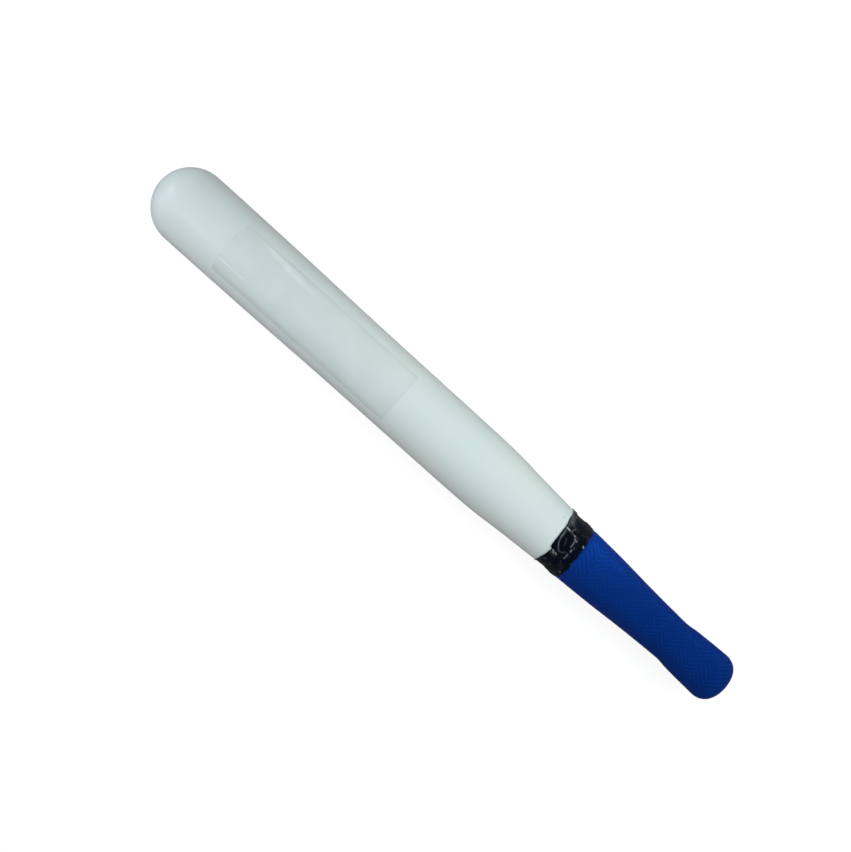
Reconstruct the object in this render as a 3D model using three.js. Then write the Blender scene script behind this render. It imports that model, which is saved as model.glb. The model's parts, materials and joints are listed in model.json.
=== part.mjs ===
import * as THREE from 'three';

// Rounders bat, in millimetres. A one-piece turned wooden body carries a ribbed rubber grip
// sleeve on its handle, a binding of black tape over the sleeve's top edge, and a clear label
// film on the barrel. Heights run along the bat's own axis, from the butt (zero) to the tip.

// Turned body: a domed tip, a long barrel, and a neck that tapers down to the grip
const overallLength = 460;
const barrelRadius = 25;
const domeDepth = 24;
const fullestDepth = 35;
const barrelEndRadius = 23.2;
const neckLength = 78;
const neckRadius = 18.6;
const bodyFacets = 30;
const domeSteps = 8;

// Outline of the barrel and of the neck, as shares of the length and of the swelling
const barrelShares = [[0.25, 0.17], [0.45, 0.31], [0.75, 0.8]];
const neckShares = [[0.53, 0.61], [0.68, 0.83], [0.77, 0.92]];

// Grip sleeve: moulded rubber with a closed butt end, its radii measured over the ridges
const gripLength = 127.2;
const gripTopRadius = 18.8;
const waistHeight = 39.5;
const waistRadius = 14.1;
const knobHeight = 9;
const knobRadius = 16.05;
const buttFlatRadius = 8.5;
const sleeveWall = 1.9;
const buttWall = 3;
const ventRadius = 1.5;
const sleeveFit = 0.3;
const rimSteps = 5;

// Outline of the handle above its waist, and of the knob below it
const handleShares = [[0.14, 0.1], [0.33, 0.3], [0.62, 0.67]];
const knobShares = [[0.25, 0.42], [0.51, 0.67]];

// Ridges of the sleeve: zigzag lines side by side, which run along the handle
const ridgeCount = 30;
const columnsPerRidge = 3;
const ridgeHeight = 0.45;
const ridgeFade = 0.6;
const chevronPitch = 16.2;
const chevronSwing = 8.1;
const lowestCorner = 5.2;

// Binding tape: two turns and a little more, stuck to each other, the upper one drifting
const tapeWidth = 16;
const tapeThickness = 0.2;
const tapeLap = 8.6;
const tapeDrift = 2.6;
const leastDrift = 0.5;
const tapeRamp = 0.3;
const tapeBridge = 1.5;
const tapeOverlap = 18;
const tapeSeatDepth = 0.6;
const stickGap = 0.2;
const tailAngle = THREE.MathUtils.degToRad(-20);
const driftShares = [0.35, 0.8];
const tapeColumns = 48;
const tailStepShare = 0.25;

// Label film: a bare clear patch stuck on the side of the barrel
const labelLength = 136;
const labelWidth = 37;
const labelDepth = 62;
const labelThickness = 0.2;
const labelTurn = THREE.MathUtils.degToRad(-3);
const labelColumns = 13;

// Radius at a height on a smooth curve through stations, each a height and a radius
function smoothRadius(stations, height) {
  const last = stations.length - 1;
  const slopes = stations.map((station, i) => {
    const before = stations[Math.max(i - 1, 0)];
    const after = stations[Math.min(i + 1, last)];
    return (after[1] - before[1]) / (after[0] - before[0]);
  });
  let i = 0;
  while (i < last - 1 && height > stations[i + 1][0]) i += 1;
  const span = stations[i + 1][0] - stations[i][0];
  const u = THREE.MathUtils.clamp((height - stations[i][0]) / span, 0, 1);
  const blend = THREE.MathUtils.smoothstep(u, 0, 1);
  const bow = slopes[i] * span * u * (1 - u) * (1 - u) - slopes[i + 1] * span * u * u * (1 - u);
  return THREE.MathUtils.lerp(stations[i][1], stations[i + 1][1], blend) + bow;
}

// Radius at a height on a faceted surface, which runs straight from ring to ring
function facetedRadius(rings, height) {
  let i = 0;
  while (i < rings.length - 2 && height > rings[i + 1][0]) i += 1;
  const way = (height - rings[i][0]) / (rings[i + 1][0] - rings[i][0]);
  return THREE.MathUtils.lerp(rings[i][1], rings[i + 1][1], way);
}

// Stations from one to another, placed by shares of the way and of the change in radius
function stationsBetween(low, high, shares) {
  const inner = shares.map(([way, change]) => [
    THREE.MathUtils.lerp(low[0], high[0], way),
    THREE.MathUtils.lerp(low[1], high[1], change),
  ]);
  return [low, ...inner, high];
}

// Quarter of an ellipse as heights and radii, from its widest ring to its end
function quarterEllipse(centreHeight, centreRadius, depth, bulge, steps) {
  const points = [];
  for (let i = 0; i <= steps; i += 1) {
    const angle = (i / steps) * (Math.PI / 2);
    points.push([centreHeight + depth * Math.sin(angle), centreRadius + bulge * Math.cos(angle)]);
  }
  return points;
}

// Outline of the barrel and neck above the grip
const neckBase = [gripLength, neckRadius];
const barrelEnd = [gripLength + neckLength, barrelEndRadius];
const barrelTop = [overallLength - fullestDepth, barrelRadius];
const upperStations = [
  ...stationsBetween(neckBase, barrelEnd, neckShares),
  ...stationsBetween(barrelEnd, barrelTop, barrelShares).slice(1),
];
const upperRadius = (height) => smoothRadius(upperStations, height);

// Outline of the grip over its ridges: knob, waist and handle
const knobTop = [knobHeight, knobRadius];
const waist = [waistHeight, waistRadius];
const gripTop = [gripLength, gripTopRadius];
const gripStations = [
  ...stationsBetween(waist, knobTop, knobShares).reverse(),
  ...stationsBetween(waist, gripTop, handleShares).slice(1),
];
const gripRadius = (height) => smoothRadius(gripStations, height);

// The neck is turned down where the tape's lower turn sits, above the handle's shoulder
const lowerTurnTop = gripLength + tapeLap;
const lowerTurnFoot = lowerTurnTop - tapeWidth;
const seatTop = lowerTurnTop - tapeRamp;
const seatFoot = seatTop - tapeSeatDepth;
const shoulderHeight = gripLength + sleeveFit;
const seatRings = [shoulderHeight, seatFoot].map((height) => [height, upperRadius(height) - tapeSeatDepth]);
const upperRings = [[seatTop, upperRadius(seatTop)], ...upperStations.slice(1)];

// Heights of the grip's rings, from the top edge down: one at every corner of the zigzag
const cornerHeights = [];
for (let height = lowestCorner; height < lowerTurnFoot - ridgeFade; height += chevronPitch / 2) {
  if (height > knobHeight) cornerHeights.unshift(height);
}
const gripHeights = [gripLength, lowerTurnFoot, lowerTurnFoot - ridgeFade, ...cornerHeights];

// Rings of a surface that lies a given depth under the ridges, down to its rounded end
function gripRings(depth, endHeight) {
  const side = gripHeights.map((height) => [height, gripRadius(height) - depth]);
  const bulge = knobRadius - buttFlatRadius - depth;
  const rim = quarterEllipse(knobHeight, buttFlatRadius, endHeight - knobHeight, bulge, rimSteps);
  return [...side, ...rim];
}

// Wooden body: one turned piece, from the end of the handle to the domed tip
function bodyOutline() {
  const [handleTop, ...handle] = gripRings(sleeveWall + sleeveFit, buttWall + sleeveFit);
  const dome = quarterEllipse(overallLength - domeDepth, 0, domeDepth, barrelRadius, domeSteps);
  const rings = [
    [buttWall + sleeveFit, 0],
    ...handle.reverse(),
    [shoulderHeight, handleTop[1]],
    ...seatRings,
    ...upperRings,
    ...dome.slice(0, -1),
    [overallLength, 0],
  ];
  return rings.map(([height, radius]) => new THREE.Vector2(radius, height));
}

function buildBody() {
  const body = new THREE.LatheGeometry(bodyOutline(), bodyFacets);
  return body.rotateY(Math.PI / bodyFacets);
}

// A wall round the bat's axis, given by its outer and inner skin on one grid. Each skin is a
// function of column and row that returns an angle, a height and a radius. A wall that goes
// only part of the way round gets a side face at its first and last column.
function wallRound(columns, rows, outerSkin, innerSkin, allRound) {
  const positions = [];
  for (let column = 0; column < columns; column += 1) {
    for (const skin of [outerSkin, innerSkin]) {
      for (let row = 0; row < rows; row += 1) {
        const [angle, height, radius] = skin(column, row);
        positions.push(radius * Math.sin(angle), height, radius * Math.cos(angle));
      }
    }
  }
  const outer = (column, row) => (column % columns) * 2 * rows + row;
  const inner = (column, row) => outer(column, row) + rows;
  const indices = [];
  const face = (a, b, c, d) => indices.push(a, b, c, a, c, d);
  const end = rows - 1;
  for (let column = 0; column < (allRound ? columns : columns - 1); column += 1) {
    const next = column + 1;
    for (let row = 0; row < end; row += 1) {
      face(outer(column, row), outer(column, row + 1), outer(next, row + 1), outer(next, row));
      face(inner(column, row), inner(next, row), inner(next, row + 1), inner(column, row + 1));
    }
    face(outer(column, 0), outer(next, 0), inner(next, 0), inner(column, 0));
    face(outer(column, end), inner(column, end), inner(next, end), outer(next, end));
  }
  if (!allRound) {
    const last = columns - 1;
    for (let row = 0; row < end; row += 1) {
      face(outer(0, row), inner(0, row), inner(0, row + 1), outer(0, row + 1));
      face(outer(last, row), outer(last, row + 1), inner(last, row + 1), inner(last, row));
    }
  }
  const wall = new THREE.BufferGeometry();
  wall.setAttribute('position', new THREE.Float32BufferAttribute(positions, 3));
  wall.setIndex(indices);
  wall.computeVertexNormals();
  return wall;
}

// Angle by which the ridges are turned at a height: a zigzag with a corner at each ring
function zigzagTurn(height) {
  const swing = chevronSwing / ((waistRadius + gripTopRadius) / 2);
  const periods = (height - lowestCorner) / chevronPitch;
  const share = Math.abs(periods - Math.round(periods)) * 2;
  return THREE.MathUtils.lerp(swing / 2, -swing / 2, share);
}

// Grip sleeve: flat-topped ridges with V grooves between them. The ridges end below the tape,
// over a band that is plain at the level of the grooves, and die out on the butt's rim.
function buildSleeve() {
  const outerRings = [...gripRings(0, 0), [0, ventRadius]];
  const innerRings = [...gripRings(sleeveWall, buttWall), [buttWall, ventRadius]];
  const columns = ridgeCount * columnsPerRidge;
  const isSunken = (column, height) => height >= lowerTurnFoot || column % columnsPerRidge === 0;
  const outerSkin = (column, row) => {
    const [height, radius] = outerRings[row];
    const angle = (column / columns) * Math.PI * 2 + zigzagTurn(height);
    const onFlat = height === 0;
    return [angle, height, !onFlat && isSunken(column, height) ? radius - ridgeHeight : radius];
  };
  const innerSkin = (column, row) => {
    const [height, radius] = innerRings[row];
    return [(column / columns) * Math.PI * 2, height, radius];
  };
  return wallRound(columns, outerRings.length, outerSkin, innerSkin, true);
}

// Rings of the sleeve's plain band, which the tape covers
const bandRings = [lowerTurnFoot, gripLength].map((height) => [height, gripRadius(height) - ridgeHeight]);

// Radius of what the tape lies on at a height: the sleeve's band, the seat, or the bare neck
function underTape(height) {
  if (height <= shoulderHeight) return facetedRadius(bandRings, Math.min(height, gripLength));
  if (height <= seatFoot) return facetedRadius(seatRings, height);
  return facetedRadius(upperRings, height);
}

// Binding tape: the lower turn lies level. The upper turn stands higher by the drift, which
// grows on the hidden side, and ends in the tail. Past the tail the lower thickness shows.
function buildTape() {
  const edgesAt = (drift) => [
    { height: lowerTurnTop + drift, turns: 1 },
    { height: lowerTurnTop, turns: 1 },
    { height: seatTop, turns: 2 },
    { height: seatFoot, turns: 2 },
    { height: shoulderHeight + tapeBridge, turns: 2 },
    { height: shoulderHeight, turns: 2 },
    { height: lowerTurnFoot + drift + tapeRamp, turns: 2 },
    { height: lowerTurnFoot + drift, turns: 1 },
    { height: lowerTurnFoot, turns: 1 },
  ];
  const wayRound = (column) => column / (tapeColumns - 1 + tailStepShare);
  const driftAt = (way) => {
    const fall = THREE.MathUtils.smoothstep(way, driftShares[0], driftShares[1]);
    return THREE.MathUtils.lerp(tapeDrift, leastDrift, fall);
  };
  const overlapWay = tapeOverlap / (Math.PI * 2 * neckRadius);
  const skin = (outside) => (column, row) => {
    const way = wayRound(column);
    const { height, turns } = edgesAt(driftAt(way))[row];
    const layers = turns > 1 && way < overlapWay ? turns + 1 : turns;
    const build = outside ? layers * tapeThickness : 0;
    return [tailAngle + way * Math.PI * 2, height, underTape(height) + stickGap + build];
  };
  return wallRound(tapeColumns, edgesAt(0).length, skin(true), skin(false), true);
}

// Label film: a patch that follows the barrel, on its upper side as the bat lies
function buildLabel() {
  const top = overallLength - labelDepth;
  const foot = top - labelLength;
  const between = upperRings.map(([height]) => height).filter((height) => height > foot && height < top);
  const heights = [foot, ...between, top].reverse();
  const halfAngle = labelWidth / barrelRadius / 2;
  const skin = (lift) => (column, row) => {
    const way = column / (labelColumns - 1);
    const angle = labelTurn + THREE.MathUtils.lerp(-halfAngle, halfAngle, way);
    return [angle, heights[row], facetedRadius(upperRings, heights[row]) + lift];
  };
  return wallRound(labelColumns, heights.length, skin(stickGap + labelThickness), skin(stickGap), false);
}

// Angle that lays the barrel level: it rests on its lower end, and on the ring beyond that
// end which stands out furthest
function restingTilt() {
  const flatShare = Math.cos(Math.PI / bodyFacets);
  const slopes = upperRings
    .filter(([height]) => height > barrelEnd[0])
    .map(([height, radius]) => ((radius - barrelEnd[1]) * flatShare) / (height - barrelEnd[0]));
  return Math.atan(Math.max(...slopes));
}

const lacquer = new THREE.MeshStandardMaterial({ color: 0xd0dbda, roughness: 0.28, metalness: 0 });
const rubber = new THREE.MeshStandardMaterial({ color: 0x0b3587, roughness: 0.62, metalness: 0 });
const tapePlastic = new THREE.MeshStandardMaterial({ color: 0x101214, roughness: 0.25, metalness: 0 });
const clearFilm = new THREE.MeshStandardMaterial({ color: 0xeef3f2, roughness: 0.08, metalness: 0 });
clearFilm.transparent = true;
clearFilm.opacity = 0.35;

function namedMesh(name, geometry, material) {
  const mesh = new THREE.Mesh(geometry, material);
  mesh.name = name;
  return mesh;
}

// The bat lies along X with its tip towards -X, level on its barrel
const bat = new THREE.Group();
bat.add(namedMesh('bat_body', buildBody(), lacquer));
bat.add(namedMesh('grip_sleeve', buildSleeve(), rubber));
bat.add(namedMesh('binding_tape', buildTape(), tapePlastic));
bat.add(namedMesh('label_film', buildLabel(), clearFilm));
bat.rotation.set(0, restingTilt(), Math.PI / 2, 'YXZ');

// The origin is on the floor, under the middle of the bat
const lyingBat = new THREE.Group();
lyingBat.add(bat);
lyingBat.updateMatrixWorld(true);
const extent = new THREE.Box3().setFromObject(lyingBat, true);
const middle = extent.getCenter(new THREE.Vector3());
bat.position.set(-middle.x, -middle.y, -extent.min.z);

export default lyingBat;
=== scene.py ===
"""Looks of a rounders bat: lacquered wood, ribbed rubber grip, black tape and a clear label film.

Every length is in metres, unless its description says mm. Heights run along the bat's own axis,
from the butt (zero) to the tip. Angles go round that axis, from the top of the lying bat (zero)
towards +Y.
"""

from __future__ import annotations

import json
import logging
import math
from dataclasses import dataclass
from enum import Enum

import bpy
import numpy as np
from mathutils import Matrix, Vector

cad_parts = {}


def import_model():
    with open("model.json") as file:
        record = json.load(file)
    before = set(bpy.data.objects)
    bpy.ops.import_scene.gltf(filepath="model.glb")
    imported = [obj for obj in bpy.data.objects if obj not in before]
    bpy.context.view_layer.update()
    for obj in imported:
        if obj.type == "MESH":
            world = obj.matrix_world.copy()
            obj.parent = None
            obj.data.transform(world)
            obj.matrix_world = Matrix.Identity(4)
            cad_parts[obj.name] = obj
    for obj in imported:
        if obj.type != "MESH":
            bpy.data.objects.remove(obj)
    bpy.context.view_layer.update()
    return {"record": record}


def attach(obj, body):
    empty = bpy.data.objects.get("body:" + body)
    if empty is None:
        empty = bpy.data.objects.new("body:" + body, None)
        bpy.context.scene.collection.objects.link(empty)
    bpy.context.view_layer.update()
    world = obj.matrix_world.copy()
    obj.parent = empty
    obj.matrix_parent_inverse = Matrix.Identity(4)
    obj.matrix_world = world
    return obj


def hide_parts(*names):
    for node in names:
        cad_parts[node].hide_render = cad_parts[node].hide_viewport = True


LOG = logging.getLogger("rounders_bat")
MM = 0.001

Colour = tuple[int, int, int]
Linear = tuple[float, float, float, float]
Shares = tuple[tuple[float, float], ...]


def smoothstep(low: float, high: float, x: np.ndarray) -> np.ndarray:
    """Eased step: 0 below low, 1 above high, and 3t^2 - 2t^3 of the share t between them.

    Args:
        low: Where the step starts.
        high: Where the step ends.
        x: Values to ease.

    Returns:
        The eased values, from 0 to 1.
    """
    t = np.clip((x - low) / (high - low), 0.0, 1.0)
    return t * t * (3.0 - 2.0 * t)


def hill(x: np.ndarray, centre: float, width: float) -> np.ndarray:
    """Bell curve exp(-((x - centre) / width)^2), which is 1 at its centre."""
    return np.exp(-(((x - centre) / width) ** 2))


def curve_through(stations: list[tuple[float, float]], x: np.ndarray) -> np.ndarray:
    """Smooth curve through stations, as cubic pieces that never overshoot.

    Each piece is a Hermite cubic. A station's slope is the harmonic mean of the two slopes that
    meet there, and zero where they have opposite signs.

    Args:
        stations: Pairs of place and value, in rising order of place.
        x: Places at which the curve is read.

    Returns:
        The curve's values at x.
    """
    place, value = np.array(stations, float).T
    step = np.diff(place)
    rise = np.diff(value) / step
    slope = np.zeros_like(place)
    slope[0], slope[-1] = rise[0], rise[-1]
    same_sign = rise[:-1] * rise[1:] > 0.0
    total = np.where(same_sign, rise[:-1] + rise[1:], 1.0)
    slope[1:-1] = np.where(same_sign, 2.0 * rise[:-1] * rise[1:] / total, 0.0)
    i = np.clip(np.searchsorted(place, x, side="right") - 1, 0, len(step) - 1)
    t = np.clip((x - place[i]) / step[i], 0.0, 1.0)
    start = (1.0 + 2.0 * t) * (1.0 - t) ** 2 * value[i] + t * (1.0 - t) ** 2 * step[i] * slope[i]
    end = t**2 * (3.0 - 2.0 * t) * value[i + 1] - t**2 * (1.0 - t) * step[i] * slope[i + 1]
    return start + end


def stations_between(
    low: tuple[float, float], high: tuple[float, float], shares: Shares
) -> list[tuple[float, float]]:
    """Stations from low to high, placed by shares of the way and of the change in value.

    Args:
        low: Place and value of the first station.
        high: Place and value of the last one.
        shares: Shares of the way and of the change, for each station between them.

    Returns:
        The stations.
    """
    inner = [
        (low[0] + way * (high[0] - low[0]), low[1] + change * (high[1] - low[1]))
        for way, change in shares
    ]
    return [low, *inner, high]


def soft_noise(
    x: np.ndarray,
    y: np.ndarray,
    seed: int,
    waves: int = 7,
    paces: tuple[float, float] = (0.6, 1.6),
) -> np.ndarray:
    """Smooth irregular waves: the mean of sines that run in seeded directions over x and y.

    Args:
        x: First coordinate, in wavelengths.
        y: Second coordinate, in wavelengths.
        seed: Seed of the directions, lengths and phases.
        waves: How many sines are added.
        paces: Slowest and fastest sine, in waves per wavelength.

    Returns:
        Values of about -1 to 1.
    """
    random = np.random.default_rng(seed)
    total = np.zeros(np.broadcast(x, y).shape)
    for _ in range(waves):
        turn, phase = random.uniform(0.0, math.tau, 2)
        pace = random.uniform(*paces) * math.tau
        total += np.sin(pace * (x * math.cos(turn) + y * math.sin(turn)) + phase)
    return total / math.sqrt(waves)


@dataclass(frozen=True)
class BatAxis:
    """The bat's own axis in the row frame.

    Attributes:
        butt: Centre of the flat butt.
        towards_tip: Direction of rising height.
        up: Direction of angle zero, square to the axis.
    """

    butt: np.ndarray
    towards_tip: np.ndarray
    up: np.ndarray

    @classmethod
    def from_record(cls, record: dict, off_axis: float = 5 * MM) -> BatAxis:
        """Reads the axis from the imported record's mount on the butt.

        Args:
            record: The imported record.
            off_axis: How far above the axis the mount's point lies on the butt.

        Returns:
            The axis, with its point at the butt's centre.
        """
        mount = next(m for m in record["mounts"] if m["name"] == "butt_end")
        towards_tip = -np.array(mount["axis"], float)
        towards_tip /= np.linalg.norm(towards_tip)
        up = np.cross(towards_tip, [0.0, -1.0, 0.0])
        up *= np.sign(up[2]) / np.linalg.norm(up)
        butt = np.array(mount["pos_m"], float) - off_axis * up
        return cls(butt, towards_tip, up)

    def points(self, height: np.ndarray, radius: np.ndarray, angle: np.ndarray) -> np.ndarray:
        """Points in the row frame: the butt, plus height along the axis, plus radius at an angle.

        Args:
            height: Heights from the butt.
            radius: Distances from the axis.
            angle: Angles round the axis, in radians.

        Returns:
            An array of the inputs' common shape, with three coordinates for each point.
        """
        height, radius, angle = np.broadcast_arrays(height, radius, angle)
        out = np.sin(angle)[..., None] * np.array([0.0, 1.0, 0.0])
        out = out + np.cos(angle)[..., None] * self.up
        return self.butt + height[..., None] * self.towards_tip + radius[..., None] * out


def object_from_arrays(
    name: str, points: np.ndarray, faces: list[np.ndarray], crisp: float = math.radians(50.0)
) -> bpy.types.Object:
    """Makes a smooth-shaded mesh object, at the origin, from whole arrays.

    Args:
        name: Name of the piece.
        points: Vertex coordinates, three for each.
        faces: Arrays of vertex numbers, one array for each number of corners.
        crisp: Angle between faces from which an edge stays crisp.

    Returns:
        The new object, linked to the scene.
    """
    corners = np.concatenate([f.ravel() for f in faces])
    totals = np.concatenate([np.full(len(f), f.shape[1]) for f in faces])
    mesh = bpy.data.meshes.new(name)
    mesh.vertices.add(len(points))
    mesh.vertices.foreach_set("co", points.astype(np.float32).ravel())
    mesh.loops.add(len(corners))
    mesh.loops.foreach_set("vertex_index", corners.astype(np.int32))
    mesh.polygons.add(len(totals))
    mesh.polygons.foreach_set("loop_start", (np.cumsum(totals) - totals).astype(np.int32))
    mesh.update(calc_edges=True)
    mesh.validate()
    mesh.shade_smooth()
    mesh.set_sharp_from_angle(angle=crisp)
    made = bpy.data.objects.new(name, mesh)
    bpy.context.scene.collection.objects.link(made)
    return made


def grid_quads(rows: int, columns: int, rows_close: bool, columns_close: bool) -> np.ndarray:
    """Quads of a grid whose point number is row times columns plus column.

    Args:
        rows: Number of rows of points.
        columns: Number of points in a row.
        rows_close: Whether the last row joins the first.
        columns_close: Whether the last column joins the first.

    Returns:
        One quad on each line: a step along the columns first, so that faces point outwards
        where rows rise and angles grow.
    """
    row = np.arange(rows if rows_close else rows - 1)[:, None]
    column = np.arange(columns if columns_close else columns - 1)[None, :]
    over, along = (row + 1) % rows, (column + 1) % columns
    corners = (
        row * columns + column,
        row * columns + along,
        over * columns + along,
        over * columns + column,
    )
    return np.stack([c.ravel() for c in corners], axis=1)


def wall_object(
    name: str, outer: np.ndarray, inner: np.ndarray, all_round: bool
) -> bpy.types.Object:
    """Closed wall between an outer and an inner skin with the same columns.

    The section is one loop, up the outer skin and down the inner one. A wall that doesn't go
    all the way round gets a side face at its first and last column, and then both skins have
    the same rows.

    Args:
        name: Name of the piece.
        outer: Points of the outer skin, rows by columns by three, with rising height.
        inner: Points of the inner skin.
        all_round: Whether the last column joins the first.

    Returns:
        The new object.
    """
    rows, columns = outer.shape[:2]
    points = np.concatenate([outer, inner[::-1]]).reshape(-1, 3)
    faces = grid_quads(rows + len(inner), columns, True, all_round)
    if not all_round:
        row = np.arange(rows - 1)
        facing = 2 * rows - 1 - row
        first = np.stack([row, row + 1, facing - 1, facing], axis=1) * columns
        last = first[:, ::-1] + columns - 1
        faces = np.concatenate([faces, first, last])
    return object_from_arrays(name, points, [faces])


def both_skins(values: np.ndarray) -> np.ndarray:
    """Values on a grid, and again in the inner skin's order, as wall_object joins the skins."""
    return np.concatenate([values, values[::-1]])


def write_surface_data(
    piece: bpy.types.Object, around: np.ndarray, up: np.ndarray, **marks: np.ndarray
) -> None:
    """Writes a UV map, in metres over the surface, and named values on the vertices.

    Args:
        piece: The mesh object.
        around: Distances round the bat, on the grid of points.
        up: Distances up the bat, on the same grid or in one column.
        marks: Values for each vertex, by the attribute's name.
    """
    mesh = piece.data
    uv = np.stack(np.broadcast_arrays(around, up), axis=-1).reshape(-1, 2)
    corner_vertex = np.zeros(len(mesh.loops), np.int32)
    mesh.loops.foreach_get("vertex_index", corner_vertex)
    layer = mesh.uv_layers.new(name="surface")
    layer.data.foreach_set("uv", uv[corner_vertex].astype(np.float32).ravel())
    for name, values in marks.items():
        attribute = mesh.attributes.new(name, "FLOAT", "POINT")
        attribute.data.foreach_set("value", values.astype(np.float32).ravel())


@dataclass(frozen=True)
class Fade:
    """An eased change of one value with another.

    Attributes:
        start: Where the change starts.
        end: Where it ends, which may be below the start.
        low: The value at the start and before it.
        high: The value at the end and past it.
    """

    start: float
    end: float
    low: float = 0.0
    high: float = 1.0


class Wiring:
    """Adds nodes to one node tree and joins them."""

    def __init__(self, tree: bpy.types.NodeTree) -> None:
        """Starts with an empty tree."""
        self.tree = tree
        tree.nodes.clear()

    def add(self, kind: str, **settings: object) -> bpy.types.Node:
        """Adds a node and gives it settings.

        Args:
            kind: Blender's name for the node.
            settings: Attributes of the node, by name.

        Returns:
            The new node.
        """
        node = self.tree.nodes.new(kind)
        for name, value in settings.items():
            setattr(node, name, value)
        return node

    def give(self, socket: bpy.types.NodeSocket, value: object) -> None:
        """Joins an input to a socket, or sets it to any other value."""
        if isinstance(value, bpy.types.NodeSocket):
            self.tree.links.new(value, socket)
        else:
            socket.default_value = value

    def fill(self, node: bpy.types.Node, **values: object) -> bpy.types.Node:
        """Gives sockets or values to inputs of a node.

        Args:
            node: The node.
            values: Sockets or values, by the input's name with underscores for spaces.

        Returns:
            The same node.
        """
        for name, value in values.items():
            self.give(node.inputs[name.replace("_", " ")], value)
        return node

    def noise(
        self, vector: bpy.types.NodeSocket, scale: object, detail: float, stretch: float = 0.0
    ) -> bpy.types.NodeSocket:
        """Noise texture over a vector, read from 0 to 1.

        Args:
            vector: Coordinates that the noise is read at.
            scale: Waves per metre, as a value or a socket.
            detail: How many finer octaves are added.
            stretch: How far the noise is warped.

        Returns:
            The noise's value.
        """
        node = self.add("ShaderNodeTexNoise")
        self.fill(node, Vector=vector, Scale=scale, Detail=detail, Distortion=stretch)
        return node.outputs["Fac"]

    def remap(self, value: bpy.types.NodeSocket, fade: Fade) -> bpy.types.NodeSocket:
        """Eased change with a value.

        Args:
            value: The value.
            fade: The change.

        Returns:
            The changed value.
        """
        node = self.add("ShaderNodeMapRange", interpolation_type="SMOOTHSTEP")
        self.fill(node, Value=value, From_Min=fade.start, From_Max=fade.end)
        self.fill(node, To_Min=fade.low, To_Max=fade.high)
        return node.outputs["Result"]

    def math(
        self, operation: str, *values: object, clamped: bool = False
    ) -> bpy.types.NodeSocket:
        """Result of a Math node.

        Args:
            operation: The node's operation.
            values: Values or sockets, in the order of the node's inputs.
            clamped: Whether the result is kept between 0 and 1.

        Returns:
            The result.
        """
        node = self.add("ShaderNodeMath", operation=operation, use_clamp=clamped)
        for socket, value in zip(node.inputs, values):
            self.give(socket, value)
        return node.outputs[0]

    def blend(self, share: object, first: object, second: object) -> bpy.types.NodeSocket:
        """Colour between two colours.

        Args:
            share: Share of the second colour, as a value or a socket.
            first: Colour at share 0, as linear values or a socket.
            second: Colour at share 1.

        Returns:
            The blended colour.
        """
        node = self.add("ShaderNodeMix", data_type="RGBA")
        wanted = (("Factor", share, "VALUE"), ("A", first, "RGBA"), ("B", second, "RGBA"))
        for name, value, kind in wanted:
            self.give(next(s for s in node.inputs if s.name == name and s.type == kind), value)
        return next(s for s in node.outputs if s.type == "RGBA")

    def coordinates(self) -> bpy.types.NodeSocket:
        """Object coordinates, which are metres in the row frame."""
        return self.add("ShaderNodeTexCoord").outputs["Object"]

    def parts(self, vector: bpy.types.NodeSocket) -> bpy.types.bpy_prop_collection:
        """X, Y and Z of a vector."""
        return self.fill(self.add("ShaderNodeSeparateXYZ"), Vector=vector).outputs

    def mark(self, name: str) -> bpy.types.NodeSocket:
        """Named value on the mesh's vertices."""
        return self.add("ShaderNodeAttribute", attribute_name=name).outputs["Fac"]


def linear(colour: Colour) -> Linear:
    """Linear values, for a shader socket, of a colour written as 0 to 255 on screen.

    Args:
        colour: Red, green and blue.

    Returns:
        The linear values, which are those of the sRGB curve, and an alpha of 1.
    """
    shares = np.array(colour) / 255.0
    values = np.where(shares <= 0.04045, shares / 12.92, ((shares + 0.055) / 1.055) ** 2.4)
    return (float(values[0]), float(values[1]), float(values[2]), 1.0)


def grey(level: float) -> Linear:
    """Linear values of a grey, for a shader socket."""
    return (level, level, level, 1.0)


def new_group(name: str, inputs: dict[str, str], outputs: dict[str, str]) -> Wiring:
    """Starts a shader node group with named sockets.

    Args:
        name: Name of the group.
        inputs: Socket kinds by name, such as NodeSocketFloat.
        outputs: Socket kinds by name.

    Returns:
        The group's wiring, with its input and output nodes named "in" and "out".
    """
    tree = bpy.data.node_groups.new(name, "ShaderNodeTree")
    for socket, kind in inputs.items():
        tree.interface.new_socket(socket, in_out="INPUT", socket_type=kind)
    for socket, kind in outputs.items():
        tree.interface.new_socket(socket, in_out="OUTPUT", socket_type=kind)
    wiring = Wiring(tree)
    wiring.add("NodeGroupInput", name="in")
    wiring.add("NodeGroupOutput", name="out")
    return wiring


def make_unevenness() -> bpy.types.NodeTree:
    """Group for a hand-made surface: slow shade changes, and a gentle waviness as a normal.

    Returns:
        The group. Shade is 0 to 1, and Normal bends the surface by Depth.
    """
    wiring = new_group(
        "unevenness",
        {
            "Vector": "NodeSocketVector",
            "Shade Scale": "NodeSocketFloat",
            "Wave Scale": "NodeSocketFloat",
            "Depth": "NodeSocketFloat",
        },
        {"Shade": "NodeSocketFloat", "Normal": "NodeSocketVector"},
    )
    given, out = wiring.tree.nodes["in"].outputs, wiring.tree.nodes["out"]
    shade = wiring.noise(given["Vector"], given["Shade Scale"], 3.0)
    wave = wiring.noise(given["Vector"], given["Wave Scale"], 2.0)
    bump = wiring.add("ShaderNodeBump")
    wiring.fill(bump, Strength=1.0, Distance=given["Depth"], Height=wave)
    wiring.fill(out, Shade=wiring.remap(shade, Fade(0.3, 0.7)), Normal=bump.outputs["Normal"])
    return wiring.tree


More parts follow.
